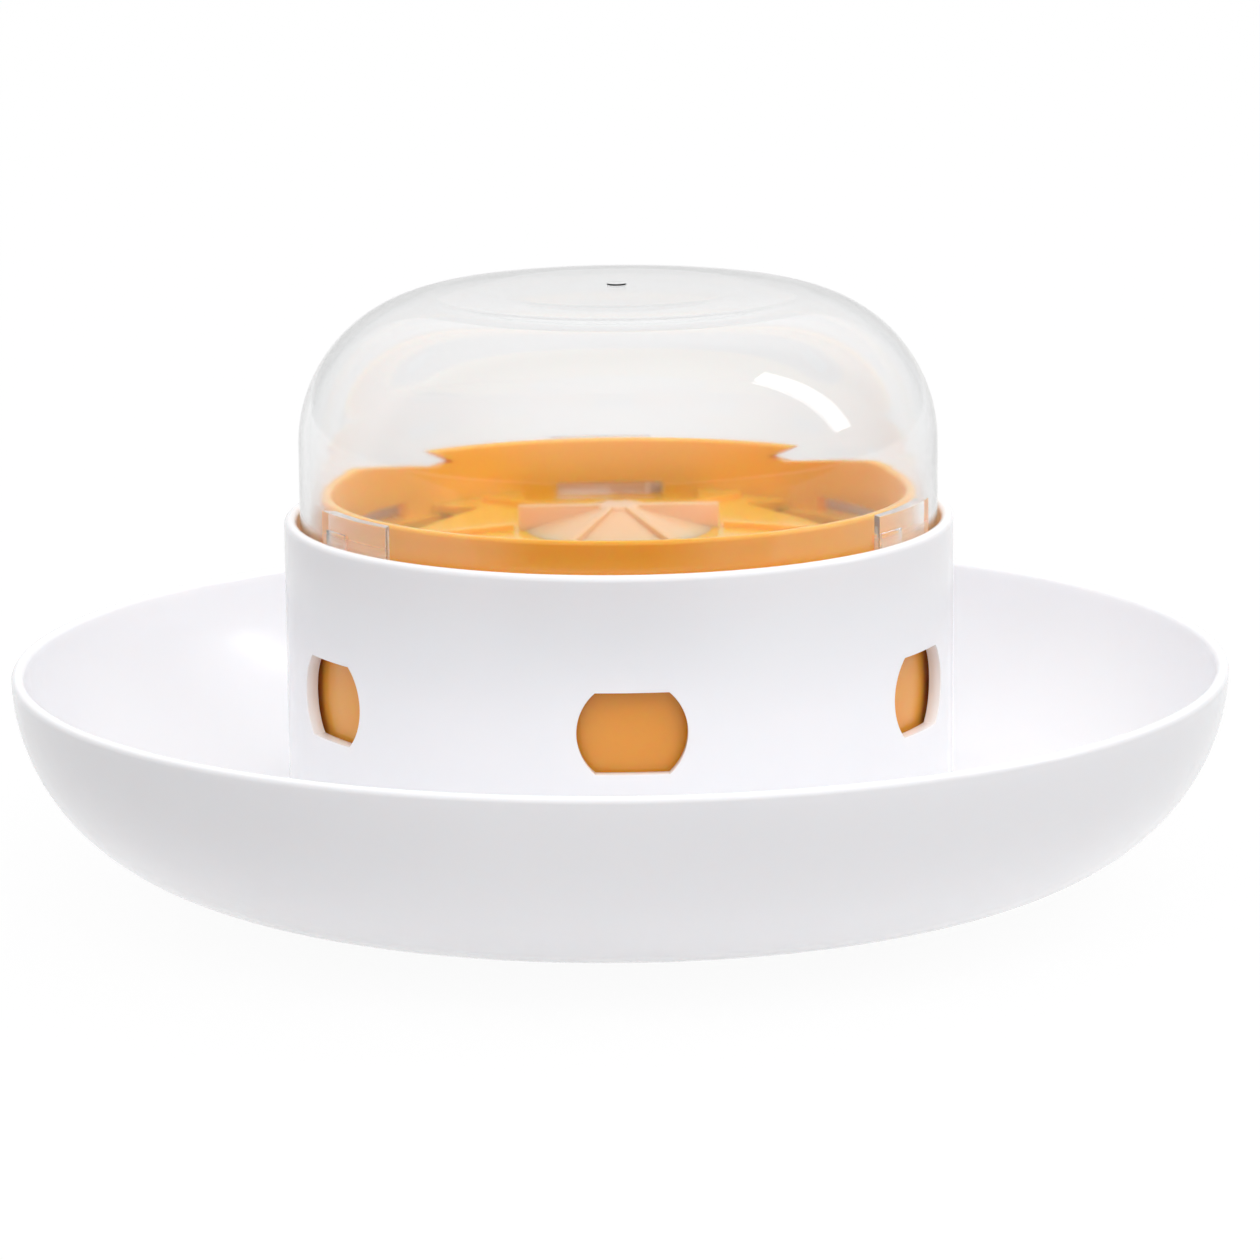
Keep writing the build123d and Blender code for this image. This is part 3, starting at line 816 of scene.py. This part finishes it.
def spreader():
    """The small cone with a flat-topped vane across it and four sloping ridges."""
    profile = [(0, plateau_level - stem_length), (stem_radius, plateau_level - stem_length),
               (stem_radius, plateau_level), (cone_foot_radius, plateau_level)]
    tip = (cone_tip_radius - cone_tip_round, vane_level - cone_tip_round)
    profile += arc(tip, cone_tip_round, cone_tip_start, 90, round_steps)
    profile += [(0, vane_level)]
    piece = lathe("spreader_cone", profile)
    vane = fin("vane", rectangle(2 * vane_radius, plateau_level, vane_level), 90, vane_thickness)
    combined(piece, vane, "UNION")
    low = plateau_level + ridge_height
    for angle in (window_step / 2, 180 - window_step / 2):
        outline = [(-vane_radius, plateau_level), (vane_radius, plateau_level), (vane_radius, low),
                   (cone_tip_radius, vane_level), (-cone_tip_radius, vane_level), (-vane_radius, low)]
        combined(piece, fin("ridge", outline, angle, vane_thickness), "UNION")
    return finished(softened(piece, vane_round), pale, "cup", "spreader_hub")


def dome_profile():
    """Section of the dome's wall, with the mark of the mould's gate on top."""
    start, end = math.radians(dome_blend_start), math.radians(dome_blend_end)
    shoulder = Vector((dome_radius - dome_shoulder_radius, dome_side_level))
    blend = shoulder - (dome_blend_radius - dome_shoulder_radius) * Vector((math.cos(start), math.sin(start)))
    crown_step = blend.x / math.cos(end)
    crown_radius = dome_blend_radius + crown_step
    crown = Vector((0, blend.y - crown_step * math.sin(end)))
    mark = 90 - math.degrees(math.asin(gate_mark_radius / crown_radius))
    points = [(dome_bore, shoulder_level), (dome_radius, shoulder_level)]
    points += arc(shoulder, dome_shoulder_radius, 0, dome_blend_start, long_arc_steps)
    points += arc(blend, dome_blend_radius, dome_blend_start, dome_blend_end)[1:]
    points += arc(crown, crown_radius, dome_blend_end, mark)[1:]
    points += [(gate_mark_radius, dome_top_level), (0, dome_top_level),
               (0, crown.y + crown_radius - dome_wall)]
    points += arc(crown, crown_radius - dome_wall, 90, dome_blend_end)[1:]
    points += arc(blend, dome_blend_radius - dome_wall, dome_blend_end, dome_blend_start)[1:]
    return points + arc(shoulder, dome_shoulder_radius - dome_wall, dome_blend_start, 0, long_arc_steps)[1:]


def dome():
    """The clear dome, with the grooved grip pads inside its skirt."""
    piece = lathe("dome_shell", dome_profile())
    inner = collar_radius + pad_gap
    outer = dome_bore + dome_wall / 2
    corners = []
    for radius, way in ((outer, 1), (inner, -1)):
        half = pad_span / 2 + pad_draft * (radius - dome_bore) / (dome_bore - inner)
        for step in range(arc_steps + 1):
            corner = swing(radius, way * half * (2 * step / arc_steps - 1), 0)
            corners.append((corner.x, corner.y))
    pad = slab("pad", corners, shoulder_level, cup_rim_level)
    groove = prism("groove", rectangle(key_width + 2 * key_gap, shoulder_level - dome_wall,
                                       key_level + key_gap), -key_turn, collar_bore,
                   collar_radius + key_height + key_gap)
    softened(combined(pad, groove, "DIFFERENCE"), pad_round, pad_segments)
    combined(piece, ring_of("pads", pad, pad_count, pad_angle, clear), "UNION")
    return finished(piece, clear, "dome", "clear_dome")


def screws():
    """The four pan-head screws in the foot."""
    seat = screw_head_level + screw_head_height
    profile = [(0, screw_tip_level), (screw_radius, screw_tip_level), (screw_radius, seat),
               (screw_head_radius, seat)]
    corner = (screw_head_radius - screw_head_round, screw_head_level + screw_head_round)
    profile += arc(corner, screw_head_round, 0, -90, round_steps)
    piece = lathe("screw", profile + [(0, screw_head_level)], steps=small_turn_steps)
    long, short = screw_cross_length / 2, screw_cross_width / 2
    cross = [(long, -short), (long, short), (short, short), (short, long), (-short, long),
             (-short, short), (-long, short), (-long, -short), (-short, -short), (-short, -long),
             (short, -long), (short, -short)]
    combined(piece, slab("cross", cross, screw_head_level - screw_cross_depth,
                         screw_head_level + screw_cross_depth), "DIFFERENCE")
    piece.data.transform(Matrix.Translation(swing(screw_circle_radius, 0, 0)))
    piece = ring_of("screw_set", piece, screw_count, screw_turn, steel)
    return finished(piece, steel, "base", "tower_screws")


for make in (saucer, tower, gate, collar, tray, spreader, dome, screws):
    make()
for node, material in (("tower_deck", white), ("pivot_screw", steel), ("pivot_washer", steel),
                       ("foot_ring", rubber)):
    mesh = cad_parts[node].data
    mesh.materials.clear()
    mesh.materials.append(material)


# Stage, light and camera

def white_stage():
    """Pale floor that stays white to the camera and keeps a soft shadow."""
    half = 6.0
    level = -0.0001
    near, far = 0.13, 0.25
    near_paleness, far_paleness = 0.92, 0.04
    shown_paleness = 0.9
    clean_share = 0.95
    mesh = bpy.data.meshes.new("studio_floor")
    mesh.from_pydata([(-half, -half, level), (half, -half, level), (half, half, level), (-half, half, level)],
                     [], [(0, 1, 2, 3)])
    floor = new_piece("studio_floor", mesh)
    material = bpy.data.materials.new("studio floor")
    material.use_nodes = True
    tree = material.node_tree
    tree.nodes.clear()
    out = add_node(tree, "ShaderNodeOutputMaterial", (400, 0))
    diffuse = add_node(tree, "ShaderNodeBsdfDiffuse", (-200, 100))
    place = add_node(tree, "ShaderNodeTexCoord", (-900, 0))
    reach = add_node(tree, "ShaderNodeVectorMath", (-700, 0), operation="LENGTH")
    shown = add_node(tree, "ShaderNodeMix", (-350, 200))
    shown.inputs["B"].default_value = shown_paleness
    link(tree, (place, "Object"), (reach, 0))
    paleness = value_ramp(tree, (reach, "Value"), near, far, near_paleness, far_paleness, "SMOOTHSTEP")
    link(tree, paleness, (shown, "A"))
    link(tree, (shown, 0), (diffuse, "Color"))
    glow = add_node(tree, "ShaderNodeEmission", (-200, -100))
    seen = add_node(tree, "ShaderNodeLightPath", (-600, 300))
    clean = add_node(tree, "ShaderNodeMath", (-400, 300), operation="ADD")
    clean_all = add_node(tree, "ShaderNodeMath", (-200, 400), operation="ADD", use_clamp=True)
    share = add_node(tree, "ShaderNodeMath", (0, 300), operation="MULTIPLY")
    share.inputs[1].default_value = clean_share
    mix = add_node(tree, "ShaderNodeMixShader", (200, 0))
    link(tree, (seen, "Is Camera Ray"), (clean, 0))
    link(tree, (seen, "Is Glossy Ray"), (clean, 1))
    link(tree, (clean, 0), (clean_all, 0))
    link(tree, (seen, "Is Transmission Ray"), (clean_all, 1))
    link(tree, (clean_all, 0), (share, 0))
    link(tree, (clean_all, 0), (shown, "Factor"))
    link(tree, (share, 0), (mix, "Fac"))
    link(tree, (diffuse, 0), (mix, 1))
    link(tree, (glow, 0), (mix, 2))
    link(tree, (mix, 0), (out, 0))
    mesh.materials.append(material)


def dark_card():
    """Dark card on the floor in front, soft at its sides, that shows only in glossy surfaces."""
    near, far, half, level = 0.3, 2.4, 2.0, 0.002
    middle_slope = 0.18
    inner_slope, outer_slope = 0.3, 0.9
    edge_clearness = 0.65
    darkness = (0.1, 0.1, 0.1, 1)
    mesh = bpy.data.meshes.new("dark_card")
    mesh.from_pydata([(-half, -far, level), (half, -far, level), (half, -near, level), (-half, -near, level)],
                     [], [(0, 1, 2, 3)])
    card = new_piece("dark_card", mesh)
    card.visible_camera = card.visible_diffuse = card.visible_shadow = False
    material = bpy.data.materials.new("dark card")
    material.use_nodes = True
    tree = material.node_tree
    tree.nodes.clear()
    out = add_node(tree, "ShaderNodeOutputMaterial", (600, 0))
    place = add_node(tree, "ShaderNodeTexCoord", (-800, 0))
    parts = add_node(tree, "ShaderNodeSeparateXYZ", (-600, 0))
    side = add_node(tree, "ShaderNodeMath", (-400, 0), operation="DIVIDE")
    middle = add_node(tree, "ShaderNodeMath", (-300, 0), operation="SUBTRACT")
    middle.inputs[1].default_value = middle_slope
    width = add_node(tree, "ShaderNodeMath", (-150, 0), operation="ABSOLUTE")
    dark = add_node(tree, "ShaderNodeBsdfDiffuse", (200, 150))
    dark.inputs["Color"].default_value = darkness
    none = add_node(tree, "ShaderNodeBsdfTransparent", (200, -150))
    mix = add_node(tree, "ShaderNodeMixShader", (400, 0))
    link(tree, (place, "Object"), (parts, 0))
    link(tree, (parts, "X"), (side, 0))
    link(tree, (parts, "Y"), (side, 1))
    link(tree, (side, 0), (middle, 0))
    link(tree, (middle, 0), (width, 0))
    fade = value_ramp(tree, (width, 0), inner_slope, outer_slope, 0.0, edge_clearness, "SMOOTHSTEP")
    link(tree, fade, (mix, "Fac"))
    link(tree, (dark, 0), (mix, 1))
    link(tree, (none, 0), (mix, 2))
    link(tree, (mix, 0), (out, 0))
    mesh.materials.append(material)


def studio_world(surround):
    """Surround of soft light, the sum of ramps of strength along directions."""
    world = bpy.data.worlds.new("studio")
    bpy.context.scene.world = world
    world.use_nodes = True
    tree = world.node_tree
    tree.nodes.clear()
    out = add_node(tree, "ShaderNodeOutputWorld", (500, 0))
    light = add_node(tree, "ShaderNodeBackground", (300, 0))
    place = add_node(tree, "ShaderNodeTexCoord", (-800, 0))
    link(tree, (light, 0), (out, 0))
    total = None
    for row, (axis, start, end, low, high) in enumerate(surround):
        share = add_node(tree, "ShaderNodeVectorMath", (-550, 300 - 250 * row), operation="DOT_PRODUCT")
        share.inputs[1].default_value = axis
        link(tree, (place, "Generated"), (share, 0))
        ramp = value_ramp(tree, (share, "Value"), start, end, low, high, "SMOOTHSTEP")
        if total:
            both = add_node(tree, "ShaderNodeMath", (-50, 200 - 250 * row), operation="ADD")
            link(tree, total, (both, 0))
            link(tree, ramp, (both, 1))
            total = both, 0
        else:
            total = ramp
    link(tree, total, (light, "Strength"))


def soft_lamp(name, place, aim, size, power, mirrored):
    """Rectangular soft box that looks at a point, and shows in glossy surfaces if it is mirrored."""
    lamp = bpy.data.lights.new(name, "AREA")
    lamp.shape = "RECTANGLE"
    lamp.size, lamp.size_y = size
    lamp.energy = power
    holder = bpy.data.objects.new(name, lamp)
    holder.location = place
    holder.rotation_euler = (Vector(aim) - Vector(place)).to_track_quat("-Z", "Y").to_euler()
    holder.visible_glossy = mirrored
    holder.visible_transmission = mirrored
    bpy.context.scene.collection.objects.link(holder)


def photo_camera():
    """Camera at the photograph's viewing angle."""
    distance = 1.125
    elevation = math.radians(11.81)
    roll = math.radians(-0.525)
    azimuth = math.radians(-2.0)
    focal_pixels = 5456.7
    image_pixels = 1260
    aim_side = 0.0021
    aim_rise = 0.0054
    aim = Vector((aim_side, 0, rim_level + aim_rise))
    back = Vector((0, -math.cos(elevation), math.sin(elevation)))
    right = Vector((1, 0, 0))
    up = back.cross(right)
    turned_right = math.cos(roll) * right + math.sin(roll) * up
    turned_up = math.cos(roll) * up - math.sin(roll) * right
    pose = Matrix((turned_right, turned_up, back)).transposed().to_4x4()
    pose.translation = aim + distance * back
    lens = bpy.data.cameras.new("photo camera")
    lens.sensor_fit = "HORIZONTAL"
    lens.lens = focal_pixels / image_pixels * lens.sensor_width
    camera = bpy.data.objects.new("photo camera", lens)
    camera.matrix_world = Matrix.Rotation(azimuth, 4, "Z") @ pose
    bpy.context.scene.collection.objects.link(camera)
    bpy.context.scene.camera = camera


white_stage()
dark_card()
# Each ramp has its direction, where it starts and ends, and the strengths there
studio_world((
    ((-0.165, 0.986, 0.0), 0.22, 0.45, 0.56, 1.05),
    ((0.0, 0.0, 1.0), 0.0, 0.9, 0.0, 0.58),
    ((1.0, 0.0, 0.0), -1.0, 1.0, -0.06, 0.06),
    ((0.0, -0.643, 0.766), 0.5, 0.985, 0.0, 0.7),
))
soft_lamp("streak box", place=(0.976, -0.036, 0.797), aim=(0, 0, 0.1), size=(0.17, 0.9), power=1.9,
          mirrored=True)
soft_lamp("front key", place=(0.15, -0.95, 1.05), aim=(0, 0, 0.08), size=(1.0, 0.8), power=3.0,
          mirrored=False)
soft_lamp("right key", place=(0.9, -0.7, 1.0), aim=(0, 0, 0.08), size=(0.9, 0.9), power=1.0,
          mirrored=False)
photo_camera()
bpy.context.scene.view_settings.view_transform = "Standard"
